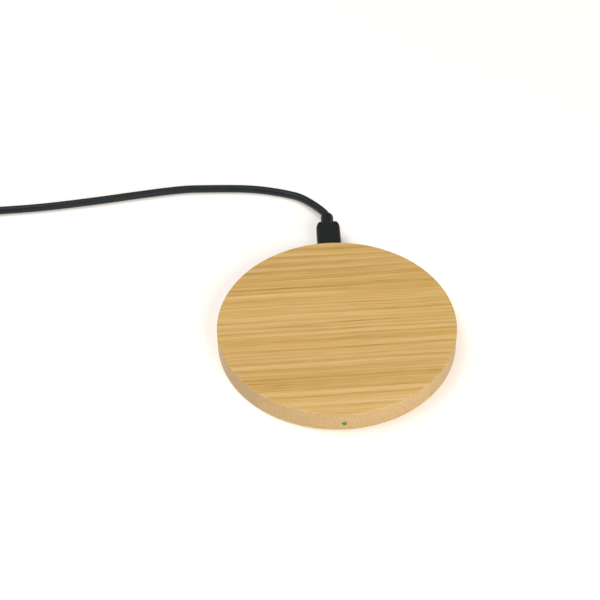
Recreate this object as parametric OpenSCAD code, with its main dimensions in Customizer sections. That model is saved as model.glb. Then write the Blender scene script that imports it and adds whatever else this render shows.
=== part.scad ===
// Round bamboo wireless charging pad with its detachable cable.
// The origin is the pad's centre, on the surface that it stands on.
// +Z is up, +Y points at the cable inlet and -Y at the charging light.

/* [Bamboo body] */
// Diameter of the pad
pad_d = 99; // [82:1:120]
// Height of the wooden body
body_h = 9.2; // [9:0.1:12]
// Wood left over the charging coil
skin_t = 2; // [1.5:0.1:2.2]
// Width of the rim around the pocket
rim_w = 5.5; // [4.5:0.5:7]
// Rounding of the top edge
top_edge_r = 0.5; // [0.3:0.1:1.2]
// Rounding of the bottom edge
low_edge_r = 0.5; // [0.2:0.1:0.8]
// Wood left in front of the cable inlet
inlet_wall = 1.3; // [1:0.1:1.8]
// Radius of a wooden boss that a base screw bites into
boss_r = 4.4; // [3.4:0.1:5.2]

/* [Base] */
// Thickness of the base cover
base_t = 1.6; // [1.4:0.1:1.9]
// Width of the step in the rim that the base cover sits on
ledge_w = 2; // [1.2:0.1:2.4]
// Gap between the base cover and the wood around it
cover_gap = 0.15; // [0.1:0.05:0.3]
// How far the feet lift the body
foot_gap = 0.6; // [0.4:0.1:1.2]
// Diameter of a foot
foot_d = 9; // [7:0.1:10.8]
// Depth of the recess that a foot is glued into
foot_recess = 0.8; // [0.6:0.1:1]
// Shaft diameter of a base screw
screw_d = 2; // [1.6:0.1:2.4]
// Length of a base screw under its head
screw_l = 4; // [3:0.1:4.8]

/* [Circuit board] */
// Thickness of the board
pcb_t = 0.8; // [0.6:0.1:1]
// Gap between the board's edge and the pocket
pcb_gap = 2; // [1.5:0.1:3]
// Height of the base cover's posts under the board
post_h = 0.4; // [0.3:0.1:0.6]
// Width of the board's tab under the socket
tab_w = 12; // [10:0.5:14]
// Diameter of the light pipe
pipe_d = 2; // [1.8:0.1:2.8]

/* [Charging coil] */
// Turns of the coil
coil_turns = 10; // [8:1:11]
// Diameter of the stranded coil wire
wire_d = 1.1; // [0.9:0.05:1.15]
// Radius of the innermost turn
coil_r = 10.8; // [9.5:0.1:12]
// Gap between neighbouring turns
turn_gap = 0.05; // [0.04:0.01:0.12]
// Radius of the ferrite plate
ferrite_r = 25; // [24:0.5:28]
// Thickness of the ferrite plate
ferrite_t = 0.8; // [0.6:0.1:1]
// Thickness of the adhesive tape over the coil
tape_t = 0.15; // [0.1:0.05:0.3]

/* [Socket and plug] */
// Width of the plug's steel shell
plug_w = 6.85; // [6.6:0.05:8.3]
// Height of the plug's steel shell
plug_h = 1.8; // [1.7:0.05:1.9]
// Length of the shell that stands out of the grip
plug_reach = 6.8; // [6.4:0.1:7]
// Clearance around the shell inside the socket
plug_play = 0.13; // [0.08:0.01:0.2]
// Height of the socket over the board
socket_h = 2.5; // [2.4:0.1:2.8]
// Depth of the socket
socket_l = 5.6; // [5.4:0.1:6]
// Width of the plug's grip
grip_w = 10.4; // [9.5:0.1:13]
// Thickness of the plug's grip
grip_t = 7; // [6:0.1:8]
// Length of the plug's grip
grip_l = 15.8; // [13:0.1:19]
// Gap between the grip and the rim
grip_gap = 0.5; // [0.3:0.1:1]
// Diameter of the collar around the cord
collar_d = 5.6; // [5:0.1:6.5]
// Length of the collar
collar_l = 6.9; // [5:0.1:10]

/* [Cord] */
// Diameter of the cord
cord_d = 3.5; // [3:0.1:4]
// Turns side by side in each layer of the stored coil
store_turns = 3; // [2:1:4]
// Thickness of the tie around the stored coil
tie_t = 0.7; // [0.5:0.1:1]
// Width of the tie
tie_w = 5; // [3:0.5:8]

/* [Power plug] */
// Width of the power plug's steel shell
usba_w = 12; // [12:0.1:12.2]
// Height of the power plug's steel shell
usba_h = 4.5; // [4.4:0.1:4.6]
// Length of the shell that stands out of the grip
usba_reach = 12; // [11:0.5:13]
// Width of the power plug's grip
usba_grip_w = 15.6; // [14:0.2:18]
// Thickness of the power plug's grip
usba_grip_t = 7.8; // [7:0.1:9]
// Length of the power plug's grip
usba_grip_l = 26; // [20:1:30]

/* [Hidden] */
$fn = 64;
eps = 0.01;
big = 200;

// Heights from the surface up
z_ledge = foot_gap + base_t;
z_pcb = z_ledge + post_h;
z_parts = z_pcb + pcb_t;
z_top = foot_gap + body_h;
z_skin = z_top - skin_t;
z_coil_top = z_skin - tape_t;
z_coil = z_coil_top - wire_d / 2;
z_ferrite_top = z_coil_top - wire_d;
z_ferrite = z_ferrite_top - ferrite_t;

// Radii from the rim inwards
pad_r = pad_d / 2;
pocket_r = pad_r - rim_w;
ledge_r = pocket_r + ledge_w;
pcb_r = pocket_r - pcb_gap;
screw_circle_r = pocket_r - 4;
boss_angles = [45, 135, 225, 315];
pilot_bite = 0.2;
boss_to_pcb = 0.6;

// Board screws
post_r = 2.4;
post_angles = [0, 115, 245];
post_circle_r = pcb_r - 5;
pcb_screw_d = 1.6;
pcb_screw_l = 1.2;
pcb_head_r = 1.5;
pcb_head_h = 0.8;
pcb_hole_play = 0.1;

// Cable inlet
notch_y = pad_r - inlet_wall;
notch_w = tab_w + 1.2;
tab_y = notch_y - 1.6;
usb_z = z_parts + socket_h / 2;
socket_wall = 0.2;
socket_w = plug_w + 2 * plug_play + 2 * socket_wall;
socket_in_h = socket_h - 2 * socket_wall;
socket_front = notch_y - 0.2;
socket_back = socket_front - socket_l;
lip = 0.25;
notch_top = usb_z + socket_h / 2 + lip + 0.4;
slot_play = 0.8;
corner_cut = 0.7;
tongue_w = 4.6;
tongue_l = 3.7;
tongue_low = 0.1;
tongue_high = 0.6;
back_t = 0.5;
contact_pitch = 0.65;
contact_w = 0.35;
contact_t = 0.06;

// Plug
grip_front = pad_r + grip_gap;
grip_back = grip_front + grip_l;
cord_exit_y = grip_back + collar_l;
plug_tip = grip_front - plug_reach;
plug_wall = 0.25;
plug_root = grip_front + 6;
insert_floor = socket_back + back_t + tongue_l + 0.4;
grip_edge_r = 1.7;
grip_corner_r = 4.1;
grip_rear_r = 1.6;
collar_dome_r = 1.5;
collar_dome_l = 2;

// Light
led_w = 2.6;
led_l = 1.6;
led_h = 2.2;
led_z = z_parts + led_h / 2;
pipe_flange_r = pipe_d / 2 + 0.55;
pipe_flange_t = 0.8;
flange_gap = 0.05;
pipe_set_back = 0.05;
led_to_pipe = 0.3;

// Ends of the coil wire
lead_d = 0.9;
lead_y = -1.6;
lead_drop_z = z_ferrite_top - lead_d / 2 - 0.05;
lead_pad_x = ferrite_r + 2.5;
lead_out_y = 3.2;
ferrite_slot_x = coil_r - 2.8;
ferrite_slot_y = [-2.6, 1.4];
sensor_r = 0.5;
sensor_wire_d = 0.3;

// Cord. Each point of the route is x, distance behind the plug's collar, height.
// The first points are inside the collar.
cord_r = cord_d / 2;
cord_sides = 8;
route = [
    [0, -2.7, usb_z], [-0.1, -0.9, usb_z], [-0.6, 0.9, 4.6], [-1.7, 2.9, 4.5], [-3.3, 5.4, 4.2],
    [-5.4, 8.3, 3.8], [-8, 11.6, 3.2], [-11.4, 15.1, 2.6], [-16, 18, 2],
    [-23, 20.7, cord_r], [-31, 22.7, cord_r], [-38, 23.7, cord_r],
    [-46, 24.3, cord_r], [-54, 24.7, cord_r], [-62, 24.9, cord_r], [-70, 24.3, cord_r],
    [-85, 22.3, cord_r], [-100, 20.1, cord_r], [-116, 18, cord_r], [-131, 16.5, cord_r],
    [-145, 15.8, cord_r], [-156, 15.4, cord_r], [-167, 15.3, cord_r]
];

// Stored coil: two layers of turns, tied once. The cord runs into its far side.
store_x = -176;
store_out = 25.75;
store_in = store_out - store_turns * cord_d;
store_y = cord_exit_y + 15.3 - store_out;
store_h = 2 * cord_d;
tie_angle = 315;
tie_mid = store_out - (store_turns / 2 - 0.5 + (tie_angle - 90) / 360) * cord_d;
tie_span = store_turns * cord_d;

// From the coil's outer turn to the power plug, measured from the coil's centre
tail = [[-store_out, -9, 4.9], [-store_out, -12.5, 4.3], [-store_out, -16.2, 3.9]];

// Power plug, at the end of the tail
usba_x = store_x - store_out;
usba_back = store_y - 15.7;
relief_l = 8;
relief_r = [2.5, 3.3];
usba_grip_back = usba_back - relief_l;
usba_grip_front = usba_grip_back - usba_grip_l;
usba_tip = usba_grip_front - usba_reach;
usba_z = usba_grip_t / 2;
usba_edge_r = 2;
usba_corner_r = 2.4;
usba_rear_r = 1.2;
usba_wall = 0.3;
usba_root = usba_grip_front + 8;
usba_insert_t = 1.9;
usba_contact_t = 0.15;
usba_contact_w = 1;
usba_contacts_x = [-3.5, -1, 1, 3.5];
usba_windows_x = [-2.9, 2.9];

// A rectangle with rounded corners, centred, made of squares and circles.
module round_rect(w, h, r) {
    square([w - 2 * r, h], center = true);
    square([w, h - 2 * r], center = true);
    for (x = [-1, 1], y = [-1, 1])
        translate([x * (w / 2 - r), y * (h / 2 - r)]) circle(r);
}

// Stands an outline drawn in X and Z up, and sweeps it along Y from y0 to y1.
module along_y(y0, y1) {
    translate([0, y1, 0]) rotate([90, 0, 0]) linear_extrude(y1 - y0) children();
}

// A round rod along Y.
module rod_y(r, y0, y1) {
    translate([0, y0, 0]) rotate([-90, 0, 0]) cylinder(r = r, h = y1 - y0);
}

// A block rounded along all its edges by three crossed outlines, from y0 to y1.
module round_block(w, h, y0, y1, edge_r, plan_r, side_r) {
    intersection() {
        along_y(y0, y1) round_rect(w, h, edge_r);
        translate([0, (y0 + y1) / 2, -h / 2]) linear_extrude(h) round_rect(w, y1 - y0, plan_r);
        translate([-w / 2, (y0 + y1) / 2, 0])
            rotate([90, 0, 90]) linear_extrude(w) round_rect(y1 - y0, h, side_r);
    }
}

// Outline of the small plug: flat top, bottom corners cut off.
module plug_outline(w, h) {
    polygon([
        [-w / 2, h / 2], [w / 2, h / 2], [w / 2, corner_cut - h / 2],
        [w / 2 - corner_cut, -h / 2], [corner_cut - w / 2, -h / 2], [-w / 2, corner_cut - h / 2]
    ]);
}

module at_bosses() {
    for (a = boss_angles) rotate(a) translate([screw_circle_r, 0, 0]) children();
}

module at_posts() {
    for (a = post_angles) rotate(a) translate([post_circle_r, 0, 0]) children();
}

// Bamboo block with its pocket

module body_outline() {
    square([pad_r - top_edge_r, body_h]);
    translate([0, low_edge_r]) square([pad_r, body_h - top_edge_r - low_edge_r]);
    square([pad_r - low_edge_r, body_h / 2]);
    translate([pad_r - top_edge_r, body_h - top_edge_r]) circle(top_edge_r);
    translate([pad_r - low_edge_r, low_edge_r]) circle(low_edge_r);
}

module inlet_slot() {
    slot_h = plug_h + 2 * slot_play;
    slot_w = plug_w + 2 * slot_play;
    translate([0, 0, usb_z]) along_y(notch_y - 1, pad_r + 1) {
        square([slot_w - slot_h, slot_h], center = true);
        for (x = [-1, 1]) translate([x * (slot_w - slot_h) / 2, 0]) circle(d = slot_h);
    }
}

module bamboo_body() color("#D9B070") difference() {
    translate([0, 0, foot_gap]) rotate_extrude() body_outline();
    translate([0, 0, foot_gap - 1]) cylinder(r = ledge_r, h = base_t + 1);
    difference() {
        translate([0, 0, z_ledge - eps]) cylinder(r = pocket_r, h = z_skin - z_ledge + eps);
        at_bosses() translate([0, 0, z_ledge - 1]) cylinder(r = boss_r, h = z_skin);
    }
    at_bosses() translate([0, 0, z_ledge - eps])
        cylinder(r = screw_d / 2 - pilot_bite, h = screw_l + 0.5);
    translate([-notch_w / 2, pocket_r - 8, foot_gap - 1])
        cube([notch_w, notch_y - pocket_r + 8, notch_top - foot_gap + 1]);
    inlet_slot();
    translate([0, 0, led_z]) rod_y(pipe_d / 2, -pad_r - 1, -pocket_r + 1);
}

// Base cover, feet and screws

module base_outline() {
    circle(ledge_r - cover_gap);
    translate([cover_gap - notch_w / 2, 0])
        square([notch_w - 2 * cover_gap, notch_y - cover_gap]);
}

module base_cover() color("#26282A") difference() {
    union() {
        translate([0, 0, foot_gap]) linear_extrude(base_t) base_outline();
        at_posts() translate([0, 0, z_ledge - eps]) cylinder(r = post_r, h = post_h + eps);
    }
    at_bosses() translate([0, 0, foot_gap - 1])
        cylinder(d = foot_d + 2 * cover_gap, h = foot_recess + 1);
    at_bosses() translate([0, 0, foot_gap + foot_recess])
        cylinder(r1 = screw_d / 2 + 0.95, r2 = screw_d / 2 + 0.1, h = base_t - foot_recess);
    at_posts() translate([0, 0, z_pcb - pcb_screw_l - 0.1])
        cylinder(r = pcb_screw_d / 2 - pilot_bite / 2, h = pcb_screw_l + 1);
}

module foot(i) color("#3A3C3E")
    rotate(boss_angles[i]) translate([screw_circle_r, 0, 0]) rotate_extrude() {
        square([foot_d / 2 - 0.3, foot_gap + foot_recess]);
        translate([0, 0.3]) square([foot_d / 2, foot_gap + foot_recess - 0.3]);
        translate([foot_d / 2 - 0.3, 0.3]) circle(0.3);
    }

// A flat-headed screw that points up, with a cross recess.
module base_screw() difference() {
    union() {
        cylinder(r1 = screw_d / 2 + 0.85, r2 = screw_d / 2, h = base_t - foot_recess);
        translate([0, 0, base_t - foot_recess - eps]) cylinder(d = screw_d, h = screw_l + eps);
    }
    for (a = [0, 90]) rotate(a) translate([0, 0, 0.2])
        cube([1.8, 0.4, 0.4 + 2 * eps], center = true);
}

module base_screws() color("#B9BCBE")
    at_bosses() translate([0, 0, foot_gap + foot_recess]) base_screw();

// Circuit board and what is soldered to it

module pcb() color("#1F6B45") translate([0, 0, z_pcb]) linear_extrude(pcb_t) difference() {
    union() {
        circle(pcb_r);
        translate([-tab_w / 2, 0]) square([tab_w, tab_y]);
    }
    at_bosses() circle(boss_r + boss_to_pcb);
    at_posts() circle(pcb_screw_d / 2 + pcb_hole_play);
}

module pcb_screws() color("#B9BCBE") at_posts() {
    translate([0, 0, z_pcb - pcb_screw_l]) cylinder(d = pcb_screw_d, h = pcb_screw_l + pcb_t + eps);
    translate([0, 0, z_parts]) difference() {
        cylinder(r = pcb_head_r, h = pcb_head_h);
        for (a = [0, 90]) rotate(a) translate([0, 0, pcb_head_h])
            cube([1.6, 0.35, 0.7], center = true);
    }
}

module usb_socket_shell() color("#C4C7C9") translate([0, 0, usb_z]) {
    difference() {
        union() {
            along_y(socket_back, socket_front) plug_outline(socket_w, socket_h);
            along_y(socket_front - lip, socket_front)
                plug_outline(socket_w + 2 * lip, socket_h + 2 * lip);
        }
        along_y(socket_back - 1, socket_front + 1)
            plug_outline(socket_w - 2 * socket_wall, socket_in_h);
    }
    for (x = [-1, 1], y = [0.8, 3.2])
        translate([x * (socket_w / 2 + 0.4) - 0.5, socket_back + y, -socket_h / 2])
            cube([1, 1.2, corner_cut + 0.2]);
}

// One contact of the socket: along the tongue, down the back and onto the board.
module socket_contact() {
    translate([-contact_w / 2, socket_back - 0.15, tongue_low - contact_t])
        cube([contact_w, back_t + tongue_l + 0.05, contact_t]);
    translate([-contact_w / 2, socket_back - 0.15, -socket_h / 2])
        cube([contact_w, 0.15, socket_h / 2 + tongue_low]);
    translate([-contact_w / 2, socket_back - 0.8, -socket_h / 2]) cube([contact_w, 0.8, 0.15]);
}

module at_contacts() {
    for (i = [-2 : 2]) translate([i * contact_pitch, 0, usb_z]) children();
}

module usb_socket_tongue() color("#1E1F20") difference() {
    translate([0, 0, usb_z]) {
        along_y(socket_back, socket_back + back_t)
            plug_outline(socket_w - 2 * socket_wall, socket_in_h);
        translate([-tongue_w / 2, socket_back + back_t - eps, tongue_low])
            cube([tongue_w, tongue_l + eps, tongue_high - tongue_low]);
    }
    at_contacts() socket_contact();
}

module usb_socket_contacts() color("#D6B25A") at_contacts() socket_contact();

module indicator_led() color("#E9F0E4")
    translate([-led_w / 2, -pcb_r, z_parts]) cube([led_w, led_l, led_h]);

module light_pipe() color("#3FAE3A") translate([0, 0, led_z]) {
    rod_y(pipe_d / 2, pipe_set_back - pad_r, -pcb_r - led_to_pipe);
    rod_y(pipe_flange_r, flange_gap - pocket_r, pipe_flange_t - pocket_r);
}

// A soldered block part whose centre on the board is x, y.
module chip(x, y, w, l, h) {
    translate([x - w / 2, y - l / 2, z_parts]) cube([w, l, h]);
}

module controller_chip() color("#202224") chip(-8, 5, 5, 5, 0.9);

module bridge_chips() color("#242628")
    for (x = [9, 14], y = [-14, -9]) chip(x, y, 3.3, 3.3, 1);

module resonant_capacitors() color("#C9A57A")
    for (x = [19.5, 23.5], y = [-14, -10.5]) chip(x, y, 3.2, 2.5, 1.7);

module filter_capacitors() color("#B88F62")
    for (i = [0 : 5]) chip(-9 + 3 * i, socket_back - 14, 1.25, 2, 1.25);

module chip_resistors() color("#2A2C30") {
    for (i = [0 : 6]) chip(-17 + 2.4 * i, -4, 0.8, 1.6, 0.5);
    for (i = [0 : 2]) chip(4 + 2.4 * i, -pcb_r + 5, 0.8, 1.6, 0.5);
}

module input_choke() color("#4A4C50") chip(12, socket_back - 9, 4.2, 4.2, 1.9);

module crystal() color("#C9CCCE") chip(-15.5, 5, 2.5, 3.2, 0.8);

// Charging coil, ferrite and tape, glued under the skin

module coil_tape() color("#E8E2CF")
    translate([0, 0, z_coil_top]) cylinder(r = coil_out_r() + 0.6, h = tape_t);

function coil_pitch() = wire_d + turn_gap;
function coil_end_x() = coil_r + coil_turns * coil_pitch();
function coil_out_r() = coil_end_x() + wire_d / 2;

// Half a turn of wire around the origin.
module half_turn(r, start) {
    rotate(start) rotate_extrude(angle = 180) translate([r, 0]) circle(d = wire_d);
}

module charging_coil() color("#B8703A") translate([0, 0, z_coil])
    for (k = [0 : coil_turns - 1]) {
        half_turn(coil_r + k * coil_pitch(), 0);
        translate([coil_pitch() / 2, 0, 0]) half_turn(coil_r + (k + 0.5) * coil_pitch(), 180);
    }

module ferrite_plate() color("#3B3D40") difference() {
    translate([0, 0, z_ferrite]) cylinder(r = ferrite_r, h = ferrite_t);
    translate([ferrite_slot_x, ferrite_slot_y[0], z_ferrite - 1])
        cube([ferrite_r, ferrite_slot_y[1] - ferrite_slot_y[0], ferrite_t + 2]);
}

// A rod between two points that differ along one axis only.
module rod(a, b, d) {
    v = b - a;
    turn = abs(v.x) > 0 ? [0, 90, 0] : abs(v.y) > 0 ? [-90, 0, 0] : [0, 0, 0];
    low = [min(a.x, b.x), min(a.y, b.y), min(a.z, b.z)];
    translate(low) rotate(turn) cylinder(d = d, h = norm(v), $fn = 32);
}

// A square-cornered wire through a list of points.
module wire(points, d) {
    for (i = [0 : len(points) - 2]) rod(points[i], points[i + 1], d);
    for (i = [1 : len(points) - 2]) translate(points[i]) sphere(d = d, $fn = 32);
}

module coil_leads() color("#B8703A") {
    inner_x = coil_r - 0.15;
    outer_x = coil_end_x();
    wire([
        [inner_x, 0, z_coil], [inner_x, lead_y, z_coil], [inner_x, lead_y, lead_drop_z],
        [lead_pad_x, lead_y, lead_drop_z], [lead_pad_x, lead_y, z_parts]
    ], lead_d);
    wire([
        [outer_x, 0, z_coil], [outer_x, lead_out_y, z_coil],
        [lead_pad_x, lead_out_y, z_coil], [lead_pad_x, lead_out_y, z_parts]
    ], lead_d);
}

module thermistor() color("#1C1D1F") {
    bead_z = z_ferrite_top + sensor_r;
    translate([0, 0.5, bead_z]) sphere(r = sensor_r, $fn = 32);
    for (y = [0.2, 0.8]) wire([
        [0, y, bead_z], [ferrite_slot_x + 0.8, y, bead_z],
        [ferrite_slot_x + 0.8, y, lead_drop_z], [lead_pad_x - 1, y, lead_drop_z],
        [lead_pad_x - 1, y, z_parts]
    ], sensor_wire_d);
}

// Small plug of the cable

module plug_grip() color("#2C2E2E") translate([0, 0, usb_z]) difference() {
    union() {
        round_block(grip_w, grip_t, grip_front, grip_back, grip_edge_r, grip_corner_r, grip_rear_r);
        translate([0, grip_back - 1, 0]) rotate([-90, 0, 0]) rotate_extrude() {
            square([collar_d / 2, collar_l + 1 - collar_dome_l]);
            square([collar_d / 2 - collar_dome_r, collar_l + 1]);
            translate([collar_d / 2 - collar_dome_r, collar_l + 1 - collar_dome_l])
                scale([1, collar_dome_l / collar_dome_r]) intersection() {
                    circle(collar_dome_r);
                    square(collar_dome_r);
                }
        }
    }
    along_y(grip_front - 1, plug_root) plug_outline(plug_w, plug_h);
}

module plug_shell() color("#C4C7C9") translate([0, 0, usb_z]) difference() {
    along_y(plug_tip, plug_root) plug_outline(plug_w, plug_h);
    along_y(plug_tip - 1, plug_root + 1)
        plug_outline(plug_w - 2 * plug_wall, plug_h - 2 * plug_wall);
    at_latches() cube([0.8, 1.6, 1], center = true);
}

module plug_insert() color("#1E1F20") translate([0, 0, usb_z]) {
    in_w = plug_w - 2 * plug_wall;
    in_h = plug_h - 2 * plug_wall;
    along_y(insert_floor, plug_root) plug_outline(in_w, in_h);
    intersection() {
        along_y(plug_tip + 0.2, insert_floor + eps) plug_outline(in_w, in_h);
        translate([-plug_w, plug_tip, -plug_h]) cube([2 * plug_w, plug_reach, plug_h - tongue_low]);
    }
}

module plug_contacts() color("#D6B25A")
    for (i = [-2 : 2])
        translate([i * contact_pitch - contact_w / 2, plug_tip + 0.5, usb_z - tongue_low])
            cube([contact_w, insert_floor - plug_tip - 0.5, contact_t]);

module at_latches() {
    for (x = [-1.8, 1.8]) translate([x, plug_tip + 2.4, plug_wall / 2 - plug_h / 2]) children();
}

// Two sprung hooks that hold the plug in the socket.
module plug_latches() color("#C4C7C9") translate([0, 0, usb_z]) at_latches()
    translate([-0.3, 0, 0]) rotate([90, 0, 90]) linear_extrude(0.6)
        polygon([
            [-0.6, plug_wall / 2], [0.6, plug_wall / 2], [0.6, -plug_wall / 2],
            [0.1, -plug_wall / 2 - plug_play + 0.03], [-0.6, -plug_wall / 2]
        ]);

// Cord

function at_exit(p) = [p.x, cord_exit_y + p.y, p.z];
function unit(v) = v / norm(v);
function heading(p, i) = unit(p[min(i + 1, len(p) - 1)] - p[max(i - 1, 0)]);
function side(t) = unit(cross(t, [0, 0, 1]));
function ring(c, t, r, n) = [
    for (k = [0 : n - 1])
        c + r * cos(360 * k / n) * side(t) + r * sin(360 * k / n) * cross(side(t), t)
];

// A tube of n sides through a list of points.
module tube(points, r, n) {
    m = len(points);
    corners = [for (i = [0 : m - 1]) each ring(points[i], heading(points, i), r, n)];
    walls = [
        for (i = [0 : m - 2], k = [0 : n - 1])
            [i * n + k, i * n + (k + 1) % n, (i + 1) * n + (k + 1) % n, (i + 1) * n + k]
    ];
    near_end = [for (k = [n - 1 : -1 : 0]) k];
    far_end = [for (k = [0 : n - 1]) (m - 1) * n + k];
    polyhedron(corners, concat([near_end], walls, [far_end]), convexity = 8);
}

module cord() color("#2F363A")
    tube([for (p = route) at_exit(p)], cord_r, cord_sides);

module cord_tail() color("#2F363A") at_store() tube(tail, cord_r, cord_sides);

module at_store() {
    translate([store_x, store_y, 0]) children();
}

module at_tie() {
    at_store() rotate(tie_angle) translate([tie_mid, 0, 0]) children();
}

module cord_coil() color("#2F363A") {
    difference() {
        at_store() rotate_extrude() translate([store_in - cord_r, 0])
            square([store_out - store_in + cord_d, store_h]);
        at_tie() cube([tie_span + 2 * cord_d, tie_w, big], center = true);
    }
    at_tie() translate([-tie_span / 2, -tie_w / 2, tie_t]) cube([tie_span, tie_w, store_h]);
}

module cord_tie() color("#1B1C1D") at_tie() translate([0, tie_w / 2, tie_t + store_h / 2])
    rotate([90, 0, 0]) linear_extrude(tie_w) difference() {
        round_rect(tie_span + 2 * tie_t, store_h + 2 * tie_t, tie_t);
        square([tie_span, store_h], center = true);
    }

// Power plug at the far end

module usb_a_grip() color("#2C2E2E") translate([usba_x, 0, usba_z]) difference() {
    union() {
        round_block(usba_grip_w, usba_grip_t, usba_grip_front, usba_grip_back,
            usba_edge_r, usba_corner_r, usba_rear_r);
        translate([0, usba_grip_back - 1, 0]) rotate([-90, 0, 0])
            cylinder(r1 = relief_r[1], r2 = relief_r[0], h = relief_l + 1);
    }
    along_y(usba_grip_front - 1, usba_root) square([usba_w, usba_h], center = true);
}

module usb_a_shell() color("#C4C7C9") translate([usba_x, 0, usba_z]) difference() {
    along_y(usba_tip, usba_root) round_rect(usba_w, usba_h, 0.4);
    along_y(usba_tip - 1, usba_root + 1)
        square([usba_w - 2 * usba_wall, usba_h - 2 * usba_wall], center = true);
    for (x = usba_windows_x)
        translate([x, usba_tip + 6, 0]) cube([2.2, 2.4, big], center = true);
}

module usb_a_insert() color("#ECECE8") translate([usba_x, 0, usba_z]) difference() {
    in_w = usba_w - 2 * usba_wall;
    in_h = usba_h - 2 * usba_wall;
    union() {
        translate([-in_w / 2, usba_tip + 0.4, -in_h / 2])
            cube([in_w, usba_root - usba_tip - 0.4, usba_insert_t]);
        translate([-in_w / 2, usba_grip_front, -in_h / 2])
            cube([in_w, usba_root - usba_grip_front, in_h]);
    }
    usba_strips();
}

module usba_strips() {
    strip_z = usba_insert_t - usba_contact_t - usba_h / 2 + usba_wall;
    for (x = usba_contacts_x) translate([x - usba_contact_w / 2, usba_tip + 1.2, strip_z])
        cube([usba_contact_w, usba_grip_front - usba_tip - 1.2, usba_contact_t + eps]);
}

module usb_a_contacts() color("#D6B25A") translate([usba_x, 0, usba_z]) usba_strips();

bamboo_body();
base_cover();
foot(0);  // foot_1
foot(1);  // foot_2
foot(2);  // foot_3
foot(3);  // foot_4
base_screws();
pcb();
pcb_screws();
usb_socket_shell();
usb_socket_tongue();
usb_socket_contacts();
indicator_led();
light_pipe();
coil_tape();
charging_coil();
ferrite_plate();
coil_leads();
thermistor();
controller_chip();
bridge_chips();
resonant_capacitors();
filter_capacitors();
chip_resistors();
input_choke();
crystal();
plug_grip();
plug_shell();
plug_insert();
plug_contacts();
plug_latches();
cord();
cord_coil();
cord_tie();
cord_tail();
usb_a_grip();
usb_a_shell();
usb_a_insert();
usb_a_contacts();
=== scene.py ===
import math

import bmesh
import bpy
from mathutils import Matrix, Quaternion, Vector


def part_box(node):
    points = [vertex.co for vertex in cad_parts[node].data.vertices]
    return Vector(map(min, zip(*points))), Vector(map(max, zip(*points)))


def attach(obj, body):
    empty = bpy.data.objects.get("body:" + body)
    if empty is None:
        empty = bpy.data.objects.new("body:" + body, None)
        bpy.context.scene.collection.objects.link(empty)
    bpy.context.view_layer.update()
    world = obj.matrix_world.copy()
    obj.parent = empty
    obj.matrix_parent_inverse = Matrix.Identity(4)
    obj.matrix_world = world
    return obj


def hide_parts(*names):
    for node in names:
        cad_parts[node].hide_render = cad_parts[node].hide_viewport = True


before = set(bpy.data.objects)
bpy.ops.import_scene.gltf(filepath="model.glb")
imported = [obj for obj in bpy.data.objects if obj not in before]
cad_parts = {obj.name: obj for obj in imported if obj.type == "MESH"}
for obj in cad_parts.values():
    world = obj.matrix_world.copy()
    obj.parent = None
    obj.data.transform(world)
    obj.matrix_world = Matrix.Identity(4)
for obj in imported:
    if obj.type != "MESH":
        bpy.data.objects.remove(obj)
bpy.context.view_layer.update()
scene = bpy.context.scene
mm = 0.001


def middleOf(name):
    # In millimetres
    low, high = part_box(name)
    return (low + high) / 2 / mm


# Camera, a little above the front edge of the table

cameraSet = {
    "place": (-0.0295, -0.4755, 0.5006),
    "aim": (-0.0142, 0.0248, 0),
    "roll": math.radians(-1.24),
    "lens": 99.45,  # on a 36 mm sensor
}


def makeCamera(s):
    data = bpy.data.cameras.new("camera")
    data.lens = s["lens"]
    data.sensor_width = 36
    data.clip_start = 0.01
    camera = bpy.data.objects.new("camera", data)
    scene.collection.objects.link(camera)
    place = Vector(s["place"])
    look = (Vector(s["aim"]) - place).to_track_quat("-Z", "Y")
    camera.rotation_mode = "QUATERNION"
    camera.rotation_quaternion = look @ Quaternion((0, 0, 1), s["roll"])
    camera.location = place
    scene.camera = camera


makeCamera(cameraSet)
print("camera in place")

# Cord: out of the small plug, down onto the table, then to the stored coil and the power plug

cordSet = {
    "diameter": 3.5 * mm,
    "length": 1.0,
    # x, distance behind the collar and height in mm, from inside the collar on
    "run": [
        (0, -2.7, 4.65), (-0.1, -0.9, 4.65), (-0.6, 0.9, 4.6), (-1.7, 2.9, 4.5), (-3.3, 5.4, 4.2),
        (-5.4, 8.3, 3.8), (-8, 11.6, 3.2), (-11.4, 15.1, 2.6), (-16, 18, 2),
        (-23, 20.7, 1.75), (-31, 22.7, 1.75), (-38, 23.7, 1.75),
        (-46, 24.3, 1.75), (-54, 24.7, 1.75), (-62, 24.9, 1.75), (-70, 24.3, 1.75),
        (-85, 22.3, 1.75), (-100, 20.1, 1.75), (-116, 18, 1.75), (-131, 16.5, 1.75),
        (-145, 15.8, 1.75), (-156, 15.4, 1.75), (-167, 15.3, 1.75),
    ],
    "coilX": -176 * mm,
    "coilOut": 25.75 * mm,  # to the middle of the outermost turn
    "coilTurns": 3,  # in each of the two layers
    "stepsPerTurn": 28,
    "tieAngle": math.radians(315),
    "tieLift": 0.7 * mm,  # the turns pass over the strap
    "tieReach": math.radians(24),
    "tail": [(-9, 4.9), (-12.5, 4.3), (-16.2, 3.9)],  # mm past the coil's middle, and height
    "roundness": 5,
}


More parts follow.
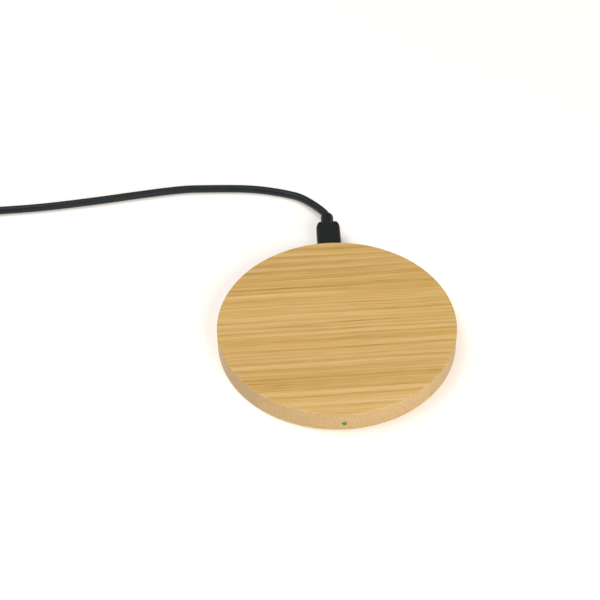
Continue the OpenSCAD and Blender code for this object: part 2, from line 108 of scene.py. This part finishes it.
def coilPoints(s, middle):
    thick, turns = s["diameter"], s["coilTurns"]
    layer, climb = 2 * math.pi * turns, math.pi / 2
    count = round((2 * turns + 0.25) * s["stepsPerTurn"])
    points = []
    for i in range(count + 1):
        gone = (2 * layer + climb) * i / count
        angle = math.pi / 2 + gone
        inwards = min(gone, layer) / (2 * math.pi)
        outwards = max(gone - layer - climb, 0) / (2 * math.pi)
        radius = s["coilOut"] - thick * (inwards - outwards)
        rise = min(max((gone - layer) / climb, 0), 1)
        offTie = abs(math.remainder(angle - s["tieAngle"], 2 * math.pi)) / s["tieReach"]
        lift = s["tieLift"] * (0.5 + 0.5 * math.cos(math.pi * min(offTie, 1)))
        height = thick / 2 + thick * rise * rise * (3 - 2 * rise) + lift
        points.append(middle + Vector((radius * math.cos(angle), radius * math.sin(angle), height)))
    return points


def makeCord(s):
    gripLow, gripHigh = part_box("plug_grip")
    way = Vector((0, gripHigh.y, (gripLow.z + gripHigh.z) / 2))
    run = [Vector((x * mm, way.y + y * mm, z * mm)) for x, y, z in s["run"]]
    middle = Vector((s["coilX"], run[-1].y - s["coilOut"], 0))
    tail = [middle + Vector((-s["coilOut"], y * mm, z * mm)) for y, z in s["tail"]]
    line = run + coilPoints(s, middle) + tail
    curve = bpy.data.curves.new("cableCord", "CURVE")
    curve.dimensions = "3D"
    curve.bevel_depth = s["diameter"] / 2
    curve.bevel_resolution = s["roundness"]
    curve.resolution_u = s["roundness"]
    curve.use_fill_caps = True
    spline = curve.splines.new("BEZIER")
    spline.bezier_points.add(len(line) - 1)
    for knot, point in zip(spline.bezier_points, line):
        knot.co = point
        knot.handle_left_type = knot.handle_right_type = "AUTO"
    cord = bpy.data.objects.new("cableCord", curve)
    scene.collection.objects.link(cord)
    return cord, way


cableCord, cordExit = makeCord(cordSet)
print("cord laid")

# Strap around the stored coil

tieSet = {
    "thick": 0.7 * mm,
    "width": 5 * mm,
    "corner": 1.6 * mm,
    "edge": 0.15 * mm,
    "flap": (1.3, 8.7),  # where the free end lies on the top, in mm along the strap
    "flapWidth": 4.8 * mm,
}


def newPiece(name, mesh):
    bmesh.ops.recalc_face_normals(mesh, faces=mesh.faces)
    data = bpy.data.meshes.new(name)
    mesh.to_mesh(data)
    mesh.free()
    data.shade_smooth()
    piece = bpy.data.objects.new(name, data)
    scene.collection.objects.link(piece)
    return piece


def makeTie(s):
    low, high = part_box("cord_tie")
    middle = (low + high) / 2
    span = cordSet["coilTurns"] * cordSet["diameter"] + s["thick"]
    tall = high.z - low.z - s["thick"]
    mesh = bmesh.new()
    bmesh.ops.create_cube(mesh, size=1)
    bmesh.ops.scale(mesh, vec=(span, s["width"], tall), verts=mesh.verts)
    ends = [f for f in mesh.faces if abs(f.normal.y) > 0.5]
    bmesh.ops.delete(mesh, geom=ends, context="FACES_ONLY")
    along = [e for e in mesh.edges if abs(e.verts[0].co.y - e.verts[1].co.y) > s["width"] / 2]
    bmesh.ops.bevel(
        mesh, geom=along, offset=s["corner"], segments=6, profile=0.5, affect="EDGES", material=-1
    )
    flap = bmesh.ops.create_grid(mesh, x_segments=8, y_segments=1, size=0.5)["verts"]
    start, end = s["flap"]
    bmesh.ops.scale(mesh, vec=((end - start) * mm, s["flapWidth"], 1), verts=flap)
    place = ((start + end) / 2 * mm - span / 2, 0, tall / 2 + s["thick"])
    bmesh.ops.translate(mesh, vec=place, verts=flap)
    turn = Matrix.Rotation(cordSet["tieAngle"], 4, "Z")
    bmesh.ops.transform(mesh, matrix=Matrix.Translation(middle) @ turn, verts=mesh.verts)
    piece = newPiece("coilTie", mesh)
    wall = piece.modifiers.new("wall", "SOLIDIFY")
    wall.thickness = s["thick"]
    wall.offset = 0
    edge = piece.modifiers.new("edge", "BEVEL")
    edge.width = s["edge"]
    edge.segments = 2
    return piece


coilTie = makeTie(tieSet)
print("strap around the coil made")

# Helpers for the materials


def toLinear(hexColour):
    parts = [int(hexColour[i:i + 2], 16) / 255 for i in (1, 3, 5)]
    return [c / 12.92 if c <= 0.04045 else ((c + 0.055) / 1.055) ** 2.4 for c in parts] + [1]


def addNode(tree, kind, settings=None, links=None):
    node = tree.nodes.new(kind)
    for name, value in (settings or {}).items():
        if name == "stops":
            ramp = node.color_ramp.elements
            while len(ramp) < len(value):
                ramp.new(0.5)
            for stop, (position, colour) in zip(ramp, value):
                stop.position = position
                stop.color = toLinear(colour) if isinstance(colour, str) else [colour] * 3 + [1]
        elif isinstance(name, int) or name in node.inputs:
            node.inputs[name].default_value = value
        else:
            setattr(node, name, value)
    for name, socket in (links or {}).items():
        tree.links.new(socket, node.inputs[name])
    return node


def newMaterial(name, finish):
    material = bpy.data.materials.new(name)
    material.use_nodes = True
    tree = material.node_tree
    shader = tree.nodes["Principled BSDF"]
    for setting, value in finish.items():
        shader.inputs[setting].default_value = value
    return material, tree, shader


def millimetres(tree, stretch=(1, 1, 1), turn=0, shift=(0, 0, 0)):
    # Object coordinates in millimetres, divided by stretch, after a turn about Z
    place = addNode(tree, "ShaderNodeTexCoord").outputs["Object"]
    turned = addNode(
        tree, "ShaderNodeMapping",
        {"Scale": (1 / mm,) * 3, "Rotation": (0, 0, -turn), "Location": shift},
        {"Vector": place},
    ).outputs[0]
    if stretch == (1, 1, 1):
        return turned
    return addNode(
        tree, "ShaderNodeMapping", {"Scale": tuple(1 / v for v in stretch)}, {"Vector": turned}
    ).outputs[0]


def grainedSurface(tree, shader, place, spacing, depth, colours, rough):
    # A moulded or cast surface: cloudy tone and gloss, and fine grain in bump if it has a depth
    cloud = addNode(
        tree, "ShaderNodeTexNoise", {"Scale": 0.18 / spacing, "Detail": 3}, {"Vector": place}
    )
    tone = addNode(
        tree, "ShaderNodeValToRGB", {"stops": [(0.3, colours[0]), (0.7, colours[1])]},
        {"Fac": cloud.outputs[0]},
    )
    tree.links.new(tone.outputs[0], shader.inputs["Base Color"])
    gloss = addNode(
        tree, "ShaderNodeMapRange", {"To Min": rough[0], "To Max": rough[1]},
        {"Value": cloud.outputs[0]},
    )
    tree.links.new(gloss.outputs[0], shader.inputs["Roughness"])
    if depth:
        grain = addNode(
            tree, "ShaderNodeTexNoise", {"Scale": 1 / spacing, "Detail": 2}, {"Vector": place}
        )
        bump = addNode(
            tree, "ShaderNodeBump", {"Strength": 0.5, "Distance": depth * mm},
            {"Height": grain.outputs[0]},
        )
        tree.links.new(bump.outputs[0], shader.inputs["Normal"])


# Bamboo

bambooSet = {
    "padRadius": 49.5,  # mm
    "grainTurn": math.radians(1.2),
    "stripWidth": 19,  # mm
    "jointAt": -34.9,  # a glue line, in mm from the middle
    "jointWidth": 0.3,
    "bundleSpacing": 0.6,  # vascular bundles, mm
    "bundleLength": 26,
    "bandSpacing": 1.5,  # dark and light bands on the sawn face, mm
    "lineSpacing": 3,  # thin dark lines between them
    "lineWidth": 0.03,  # as a share of the noise that they follow
    "fleckSpacing": 2 / 3,  # mottling where the edge cuts across the fibres, mm
    "bandLength": 110,  # how long bands, lines and flecks are, against their width
    "lineLength": 150,
    "fleckLength": 1.4,
    "wander": (50, 1.6),  # mm: the fibres stray this much sideways over that length
    "stripShift": (311, 7.3, 13.7),  # from one strip's pattern to the next, mm
    "stripSeed": 5.3,
    "flatFrom": (0.6, 0.9),  # how level the surface is where the sawn face begins
    "stripShade": (0.95, 0.08),  # least tone of a strip, and how much the strips differ
    "jointShade": -0.13,
    # painted highlight along the rounded top edge
    "roundingPaintedHighlight": 0.3,
    "boreRing": (1, 1.7, 0.07),  # radii of the paler ring round the light, mm, and its strength
    "rough": (0.42, 0.6),
    "bumpDepth": 0.06,  # mm
    "faceColours": [(0.22, "#BA8C40"), (0.38, "#D7AC5F"), (0.52, "#E4BB74"), (0.72, "#F1D095")],
    "endColours": [(0.16, "#B99563"), (0.45, "#C7A775"), (0.68, "#D3B88A")],
}


def bambooMaterial(s):
    # Bamboo strips glued edge to edge, sanded and oiled: long fine bands on the sawn face,
    # dots where the round edge cuts across the fibres, and hardly any gloss
    material, tree, shader = newMaterial("sandedBamboo", {"IOR": 1.5, "Specular IOR Level": 0.35})
    grain = millimetres(tree, turn=s["grainTurn"])
    parts = addNode(tree, "ShaderNodeSeparateXYZ", links={"Vector": grain})

    def calc(operation, a, b=None, c=None):
        values = {i: v for i, v in enumerate((a, b, c)) if isinstance(v, (int, float))}
        sockets = {i: v for i, v in enumerate((a, b, c)) if v is not None and i not in values}
        return addNode(tree, "ShaderNodeMath", {"operation": operation, **values}, sockets).outputs[0]

    across = calc("DIVIDE", calc("SUBTRACT", parts.outputs["Y"], s["jointAt"]), s["stripWidth"])
    strip = calc("FLOOR", across)
    stripTone = addNode(
        tree, "ShaderNodeTexWhiteNoise", {"noise_dimensions": "1D"},
        {"W": calc("ADD", strip, s["stripSeed"])},
    ).outputs["Value"]
    toJoint = calc("MULTIPLY", calc("PINGPONG", across, 0.5), s["stripWidth"])
    joint = addNode(
        tree, "ShaderNodeMapRange",
        {"From Min": 0, "From Max": s["jointWidth"], "To Min": 1, "To Max": 0},
        {"Value": toJoint},
    ).outputs[0]

    # Every strip has its own stretch of fibres, which wander a little
    shift = addNode(
        tree, "ShaderNodeCombineXYZ",
        links={axis: calc("MULTIPLY", strip, step) for axis, step in zip("XYZ", s["stripShift"])},
    ).outputs[0]
    ownGrain = addNode(
        tree, "ShaderNodeVectorMath", {"operation": "ADD"}, {0: grain, 1: shift}
    ).outputs[0]
    strayOver, stray = s["wander"]
    wander = addNode(
        tree, "ShaderNodeTexNoise", {"Scale": 1 / strayOver, "Detail": 1}, {"Vector": ownGrain}
    ).outputs["Color"]
    ownGrain = addNode(
        tree, "ShaderNodeVectorMath", {"operation": "MULTIPLY_ADD", 1: (0, stray, stray)},
        {0: wander, 2: ownGrain},
    ).outputs[0]

    alongFibres = addNode(
        tree, "ShaderNodeMapping", {"Scale": (1 / s["bundleLength"], 1, 1)}, {"Vector": ownGrain}
    ).outputs[0]
    bundles = addNode(
        tree, "ShaderNodeTexVoronoi", {"Scale": 1 / s["bundleSpacing"], "Randomness": 0.85},
        {"Vector": alongFibres},
    ).outputs["Distance"]
    bundle = addNode(
        tree, "ShaderNodeMapRange",
        {"From Min": 0.1, "From Max": 0.55, "To Min": 1, "To Max": 0}, {"Value": bundles},
    ).outputs[0]

    alongBands = addNode(
        tree, "ShaderNodeMapping", {"Scale": (1 / s["bandLength"], 1, 1 / 5)}, {"Vector": ownGrain}
    ).outputs[0]
    bands = addNode(
        tree, "ShaderNodeTexNoise",
        {"Scale": 1 / s["bandSpacing"], "Detail": 5, "Roughness": 0.62}, {"Vector": alongBands},
    ).outputs[0]

    alongLines = addNode(
        tree, "ShaderNodeMapping",
        {"Scale": (1 / s["lineLength"], 1, 1 / 3), "Location": (0, 40, 9)}, {"Vector": ownGrain},
    ).outputs[0]
    level = addNode(
        tree, "ShaderNodeTexNoise", {"Scale": 1 / s["lineSpacing"], "Detail": 2, "Roughness": 0.4},
        {"Vector": alongLines},
    ).outputs[0]
    line = addNode(
        tree, "ShaderNodeMapRange",
        {"From Min": 0, "From Max": s["lineWidth"], "To Min": 1, "To Max": 0},
        {"Value": calc("ABSOLUTE", calc("SUBTRACT", level, 0.5))},
    ).outputs[0]

    # 1 on the top, 0 on the round edge, and between them on the rounding
    normal = addNode(tree, "ShaderNodeTexCoord").outputs["Normal"]
    facing = addNode(tree, "ShaderNodeSeparateXYZ", links={"Vector": normal}).outputs["Z"]
    flat = addNode(
        tree, "ShaderNodeMapRange", {"From Min": s["flatFrom"][0], "From Max": s["flatFrom"][1]},
        {"Value": facing},
    ).outputs[0]
    # Painted highlight along the rounded top edge, brightest halfway between the top and the round edge
    rounding = addNode(
        tree, "ShaderNodeMath", {"operation": "MULTIPLY", "use_clamp": True},
        {0: facing, 1: calc("SUBTRACT", 1, facing)},
    ).outputs[0]

    alongFlecks = addNode(
        tree, "ShaderNodeMapping", {"Scale": (1 / s["fleckLength"], 1, 1)}, {"Vector": ownGrain}
    ).outputs[0]
    flecks = addNode(
        tree, "ShaderNodeTexNoise", {"Scale": 1 / s["fleckSpacing"], "Detail": 3, "Roughness": 0.6},
        {"Vector": alongFlecks},
    ).outputs[0]
    faceTone = calc("SUBTRACT", bands, calc("MULTIPLY_ADD", bundle, 0.1, calc("MULTIPLY", line, 0.1)))
    endTone = calc("SUBTRACT", calc("MULTIPLY_ADD", flecks, 0.8, 0.08), calc("MULTIPLY", bundle, 0.1))
    faceColour = addNode(
        tree, "ShaderNodeValToRGB", {"stops": s["faceColours"]}, {"Fac": faceTone}
    ).outputs[0]
    endColour = addNode(
        tree, "ShaderNodeValToRGB", {"stops": s["endColours"]}, {"Fac": endTone}
    ).outputs[0]
    colour = addNode(
        tree, "ShaderNodeMix", {"data_type": "RGBA"}, {0: flat, 6: endColour, 7: faceColour}
    ).outputs[2]
    shade = calc("MULTIPLY_ADD", stripTone, s["stripShade"][1], s["stripShade"][0])
    shade = calc("MULTIPLY", shade, calc("MULTIPLY_ADD", joint, s["jointShade"], 1))
    # the painted highlight on the rounding
    shade = calc("MULTIPLY", shade, calc("MULTIPLY_ADD", rounding, s["roundingPaintedHighlight"], 1))

    # A paler ring round the bore of the light
    middle = middleOf("light_pipe")
    inner, outer, strength = s["boreRing"]
    fromLight = addNode(
        tree, "ShaderNodeVectorMath", {"operation": "LENGTH"},
        {0: millimetres(tree, shift=(-middle.x, s["padRadius"], -middle.z))},
    ).outputs["Value"]
    ring = addNode(
        tree, "ShaderNodeMapRange",
        {"From Min": inner, "From Max": outer, "To Min": strength, "To Max": 0},
        {"Value": fromLight},
    ).outputs[0]
    shade = calc("ADD", shade, ring)
    colour = addNode(
        tree, "ShaderNodeVectorMath", {"operation": "SCALE"}, {0: colour, "Scale": shade}
    ).outputs[0]
    tree.links.new(colour, shader.inputs["Base Color"])
    gloss = addNode(
        tree, "ShaderNodeMapRange", {"To Min": s["rough"][0], "To Max": s["rough"][1]}, {"Value": bands}
    ).outputs[0]
    tree.links.new(gloss, shader.inputs["Roughness"])
    height = calc("SUBTRACT", bands, calc("MULTIPLY_ADD", bundle, 0.4, calc("MULTIPLY", joint, 0.4)))
    bump = addNode(
        tree, "ShaderNodeBump", {"Strength": 0.2, "Distance": s["bumpDepth"] * mm}, {"Height": height}
    ).outputs[0]
    tree.links.new(bump, shader.inputs["Normal"])
    return material


# Plastics and rubber


def baseMaterial():
    # ABS, injection moulded in a spark-eroded mould: black and matt, with a fine even grain
    material, tree, shader = newMaterial("mouldedAbs", {"IOR": 1.54})
    grainedSurface(tree, shader, millimetres(tree), 0.4, 0.03, ("#232527", "#2A2C2E"), (0.5, 0.62))
    return material


def footMaterial():
    # Silicone, compression moulded: dark grey, soft and satin, with a trace of dust
    material, tree, shader = newMaterial("mouldedSilicone", {"IOR": 1.41})
    grainedSurface(tree, shader, millimetres(tree), 0.6, 0.02, ("#35373A", "#424447"), (0.55, 0.75))
    return material


def gripMaterial():
    # Soft PVC moulded over the plug: near black, satin, with a fine leathery grain
    material, tree, shader = newMaterial("overmouldedPvc", {"IOR": 1.5, "Specular IOR Level": 0.18})
    grainedSurface(tree, shader, millimetres(tree), 0.35, 0.02, ("#1E2120", "#242726"), (0.36, 0.48))
    return material


def cordMaterial():
    # PVC jacket, extruded: blue-black with a soft lengthwise shine
    material, tree, shader = newMaterial("extrudedPvc", {"IOR": 1.5, "Specular IOR Level": 0.25})
    grainedSurface(tree, shader, millimetres(tree), 0.8, 0.02, ("#1B2225", "#232B2F"), (0.34, 0.44))
    return material


def resinMaterial(name, colours, rough):
    # Epoxy or liquid crystal polymer, moulded: even, with a dull skin
    material, tree, shader = newMaterial(name, {"IOR": 1.55})
    grainedSurface(tree, shader, millimetres(tree), 0.15, 0.01, colours, rough)
    return material


# Metals


def sheetMaterial(name, colours, rough, stretch):
    # Plated sheet: bright, with drawing marks along one direction
    material, tree, shader = newMaterial(name, {"Metallic": 1})
    grainedSurface(tree, shader, millimetres(tree, stretch=stretch), 0.2, 0.004, colours, rough)
    return material


def copperMaterial():
    # Stranded copper under clear enamel: red-brown metal with the fine twist of its strands
    material, tree, shader = newMaterial(
        "enamelledCopper", {"Metallic": 1, "Coat Weight": 0.6, "Coat Roughness": 0.15}
    )
    place = millimetres(tree)
    grainedSurface(tree, shader, place, 0.4, 0, ("#A9602C", "#C67F45"), (0.28, 0.4))
    strands = addNode(
        tree, "ShaderNodeTexWave", {"bands_direction": "DIAGONAL", "Scale": 1.6, "Distortion": 0.6},
        {"Vector": place},
    ).outputs["Fac"]
    bump = addNode(
        tree, "ShaderNodeBump", {"Strength": 0.6, "Distance": 0.06 * mm}, {"Height": strands}
    ).outputs[0]
    tree.links.new(bump, shader.inputs["Normal"])
    return material


# Board, light and coil parts


def boardMaterial():
    # Solder mask over glass epoxy: glossy green, lighter where copper tracks run under it
    material, tree, shader = newMaterial(
        "solderMask", {"IOR": 1.5, "Roughness": 0.32, "Coat Weight": 0.3, "Coat Roughness": 0.1}
    )
    tracks = addNode(
        tree, "ShaderNodeTexBrick",
        {
            "Color1": toLinear("#1B6340"), "Color2": toLinear("#1F6B45"), "Mortar": toLinear("#3A8B5E"),
            "Scale": 1, "Mortar Size": 0.22, "Mortar Smooth": 0.1, "Brick Width": 5.4,
            "Row Height": 1.7, "offset": 0.37,
        },
        {"Vector": millimetres(tree)},
    )
    tree.links.new(tracks.outputs["Color"], shader.inputs["Base Color"])
    bump = addNode(
        tree, "ShaderNodeBump", {"Strength": 0.4, "Distance": 0.03 * mm},
        {"Height": tracks.outputs["Fac"]},
    )
    tree.links.new(bump.outputs[0], shader.inputs["Normal"])
    return material


def pipeMaterial():
    # Clear acrylic light pipe, lit green from behind: brightest in its middle
    material, tree, shader = newMaterial(
        "litAcrylic",
        {"IOR": 1.49, "Roughness": 0.3, "Specular IOR Level": 0.3, "Emission Strength": 0.15},
    )
    middle = middleOf("light_pipe")
    place = millimetres(tree, shift=(-middle.x, 0, -middle.z))
    away = addNode(
        tree, "ShaderNodeVectorMath", {"operation": "MULTIPLY", 1: (1, 0, 1)}, {0: place}
    ).outputs[0]
    length = addNode(
        tree, "ShaderNodeVectorMath", {"operation": "LENGTH"}, {0: away}
    ).outputs["Value"]
    glow = addNode(
        tree, "ShaderNodeValToRGB", {"stops": [(0.3, "#219B18"), (0.95, "#176B12")]}, {"Fac": length}
    ).outputs[0]
    tree.links.new(glow, shader.inputs["Base Color"])
    tree.links.new(glow, shader.inputs["Emission Color"])
    return material


def lampMaterial():
    # Clear resin over a green chip: milky, and glowing faintly
    material, tree, shader = newMaterial(
        "ledResin", {"IOR": 1.52, "Emission Strength": 0.4, "Emission Color": toLinear("#58C84E")}
    )
    grainedSurface(tree, shader, millimetres(tree), 0.5, 0.01, ("#DDE8D6", "#EEF4EA"), (0.2, 0.3))
    return material


def tapeMaterial():
    # Double-sided tissue tape: off-white and dull, with loose fibres in it
    material, tree, shader = newMaterial("tissueTape", {"IOR": 1.47})
    grainedSurface(
        tree, shader, millimetres(tree, stretch=(3, 1, 1), turn=0.5), 0.3, 0.03,
        ("#DDD5BE", "#EFEADB"), (0.7, 0.85),
    )
    return material


def ferriteMaterial():
    # Sintered ferrite: charcoal grey, matt, with small pits
    material, tree, shader = newMaterial("sinteredFerrite", {"IOR": 1.9, "Specular IOR Level": 0.3})
    place = millimetres(tree)
    grainedSurface(tree, shader, place, 0.3, 0, ("#35373A", "#43454A"), (0.6, 0.75))
    pits = addNode(
        tree, "ShaderNodeTexVoronoi", {"Scale": 1.6, "Randomness": 1}, {"Vector": place}
    ).outputs["Distance"]
    pit = addNode(
        tree, "ShaderNodeMapRange", {"From Min": 0.05, "From Max": 0.16}, {"Value": pits}
    ).outputs[0]
    bump = addNode(
        tree, "ShaderNodeBump", {"Strength": 0.6, "Distance": 0.05 * mm}, {"Height": pit}
    ).outputs[0]
    tree.links.new(bump, shader.inputs["Normal"])
    return material


def chipMaterial(name, colours, axis, first, pitch, bodyLength):
    # A ceramic chip part: a dull fired body between two tinned ends.
    # The parts stand pitch apart along axis, the first one's middle at first.
    material, tree, shader = newMaterial(name, {"IOR": 1.6})
    place = millimetres(tree)
    grainedSurface(tree, shader, place, 0.2, 0.01, colours, (0.4, 0.5))
    body = shader.inputs["Base Color"].links[0].from_socket
    parts = addNode(tree, "ShaderNodeSeparateXYZ", links={"Vector": place})
    offset = addNode(
        tree, "ShaderNodeMath", {"operation": "SUBTRACT", 1: first}, {0: parts.outputs[axis]}
    ).outputs[0]
    distance = addNode(
        tree, "ShaderNodeMath", {"operation": "PINGPONG", 1: pitch / 2}, {0: offset}
    ).outputs[0]
    tinned = addNode(
        tree, "ShaderNodeMath", {"operation": "GREATER_THAN", 1: bodyLength / 2}, {0: distance}
    ).outputs[0]
    colour = addNode(
        tree, "ShaderNodeMix", {"data_type": "RGBA", 7: toLinear("#C9CBCC")}, {0: tinned, 6: body}
    ).outputs[2]
    tree.links.new(colour, shader.inputs["Base Color"])
    tree.links.new(tinned, shader.inputs["Metallic"])
    return material


def strapMaterial():
    # Woven nylon with a looped pile: black and dull, its threads crossing every 0.7 mm
    material, tree, shader = newMaterial(
        "wovenNylon", {"IOR": 1.53, "Roughness": 0.85, "Sheen Weight": 0.25, "Sheen Roughness": 0.5}
    )
    place = millimetres(tree, turn=cordSet["tieAngle"])
    rows = addNode(
        tree, "ShaderNodeTexWave", {"bands_direction": "Y", "Scale": 0.45}, {"Vector": place}
    ).outputs["Fac"]
    columns = addNode(
        tree, "ShaderNodeTexWave", {"bands_direction": "DIAGONAL", "Scale": 0.35}, {"Vector": place}
    ).outputs["Fac"]
    weave = addNode(
        tree, "ShaderNodeMath", {"operation": "MULTIPLY"}, {0: rows, 1: columns}
    ).outputs[0]
    # Darker where the weave dips: painted shade between the threads
    tone = addNode(
        tree, "ShaderNodeValToRGB", {"stops": [(0, "#0F1010"), (1, "#2A2B2C")]}, {"Fac": weave}
    ).outputs[0]
    tree.links.new(tone, shader.inputs["Base Color"])
    bump = addNode(
        tree, "ShaderNodeBump", {"Strength": 0.8, "Distance": 0.12 * mm}, {"Height": weave}
    ).outputs[0]
    tree.links.new(bump, shader.inputs["Normal"])
    return material


# Which piece is made of what


def paint(names, material):
    for name in names:
        piece = bpy.data.objects[name]
        piece.data.materials.clear()
        piece.data.materials.append(material)


blackResin = resinMaterial("blackResin", ("#1C1D1F", "#232527"), (0.42, 0.55))
bright = sheetMaterial("nickelPlate", ("#BFC2C4", "#CFD2D4"), (0.2, 0.32), (1, 12, 1))

paint(["bamboo_body"], bambooMaterial(bambooSet))
paint(["base_cover"], baseMaterial())
paint([f"foot_{i}" for i in (1, 2, 3, 4)], footMaterial())
paint(
    ["base_screws", "pcb_screws"],
    sheetMaterial("zincPlate", ("#A9ADB0", "#BDC1C4"), (0.3, 0.42), (1, 1, 1)),
)
paint(["pcb"], boardMaterial())
paint(["usb_socket_shell", "plug_shell", "plug_latches", "usb_a_shell", "crystal"], bright)
paint(
    [
        "usb_socket_tongue", "plug_insert", "controller_chip", "bridge_chips", "thermistor",
        "input_choke",
    ],
    blackResin,
)
paint(["usb_a_insert"], resinMaterial("whiteResin", ("#E4E4DF", "#F0F0EC"), (0.4, 0.5)))
paint(
    ["usb_socket_contacts", "plug_contacts", "usb_a_contacts"],
    sheetMaterial("goldPlate", ("#DDB765", "#E9C678"), (0.18, 0.28), (1, 8, 1)),
)
paint(["indicator_led"], lampMaterial())
paint(["light_pipe"], pipeMaterial())
paint(["coil_tape"], tapeMaterial())
paint(["charging_coil", "coil_leads"], copperMaterial())
paint(["ferrite_plate"], ferriteMaterial())
paint(
    ["resonant_capacitors"],
    chipMaterial("filmedCapacitor", ("#C29C6E", "#D0AE85"), "X", 19.5, 4, 2.2),
)
paint(
    ["filter_capacitors"],
    chipMaterial(
        "firedCapacitor", ("#AF8656", "#C0986B"), "Y", middleOf("filter_capacitors").y, 40, 1.3
    ),
)
paint(["chip_resistors"], resinMaterial("resistorGlaze", ("#24262A", "#303237"), (0.25, 0.35)))
paint(["plug_grip", "usb_a_grip"], gripMaterial())
paint(["cableCord"], cordMaterial())
paint(["coilTie"], strapMaterial())
print("materials on")

# Bodies, and what each new piece stands for

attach(cableCord, "cable")
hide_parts("cord", "cord_coil", "cord_tail")
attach(coilTie, "cable")
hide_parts("cord_tie")

# Table and light

studioSet = {
    "floorSize": 12,
    "floorColour": "#FFFBF6",
    "floorPaintedLight": (0.29, 0.9),  # painted light: the table glows, least near the object so its shade shows, most far out
    "paintedLightReach": (0.4, 1.6),  # m
    "worldStrength": 0.28,
    # place, aim, size, power, colour
    "lamps": [
        ((-0.45, 0.2, 0.9), (0, 0, 0), 0.8, 4.7, "#FFFFFF"),
        ((0.45, -0.8, 0.55), (0, 0, 0), 0.6, 6.4, "#FFFAF4"),
    ],
}


def makeStudio(s):
    mesh = bmesh.new()
    bmesh.ops.create_grid(mesh, x_segments=1, y_segments=1, size=s["floorSize"] / 2)
    bmesh.ops.translate(mesh, vec=(0, 0, -0.05 * mm), verts=mesh.verts)
    floor = newPiece("table", mesh)
    material, tree, shader = newMaterial(
        "paintedTable",
        {
            "Base Color": toLinear(s["floorColour"]), "Roughness": 0.9, "Specular IOR Level": 0.1,
            "Emission Color": toLinear(s["floorColour"]),
        },
    )
    place = addNode(tree, "ShaderNodeTexCoord").outputs["Object"]
    length = addNode(
        tree, "ShaderNodeVectorMath", {"operation": "LENGTH"}, {0: place}
    ).outputs["Value"]
    # Painted light on the table: its glow grows with distance from the middle
    glow = addNode(
        tree, "ShaderNodeMapRange",
        {
            "From Min": s["paintedLightReach"][0], "From Max": s["paintedLightReach"][1],
            "To Min": s["floorPaintedLight"][0], "To Max": s["floorPaintedLight"][1],
        },
        {"Value": length},
    ).outputs[0]
    tree.links.new(glow, shader.inputs["Emission Strength"])
    floor.data.materials.append(material)
    world = bpy.data.worlds.new("studio")
    world.use_nodes = True
    sky = world.node_tree
    sky.nodes["Background"].inputs["Color"].default_value = (1, 1, 1, 1)
    seen = addNode(sky, "ShaderNodeLightPath").outputs["Is Camera Ray"]
    strength = addNode(
        sky, "ShaderNodeMapRange", {"To Min": s["worldStrength"], "To Max": 1}, {"Value": seen}
    ).outputs[0]
    sky.links.new(strength, sky.nodes["Background"].inputs["Strength"])
    scene.world = world
    for place, aim, size, power, colour in s["lamps"]:
        data = bpy.data.lights.new("softbox", "AREA")
        data.shape = "DISK"
        data.size = size
        data.energy = power
        data.color = toLinear(colour)[:3]
        lamp = bpy.data.objects.new("softbox", data)
        lamp.location = place
        lamp.rotation_euler = (Vector(aim) - Vector(place)).to_track_quat("-Z", "Y").to_euler()
        scene.collection.objects.link(lamp)
    scene.view_settings.view_transform = "Standard"


makeStudio(studioSet)
print("table and light set")
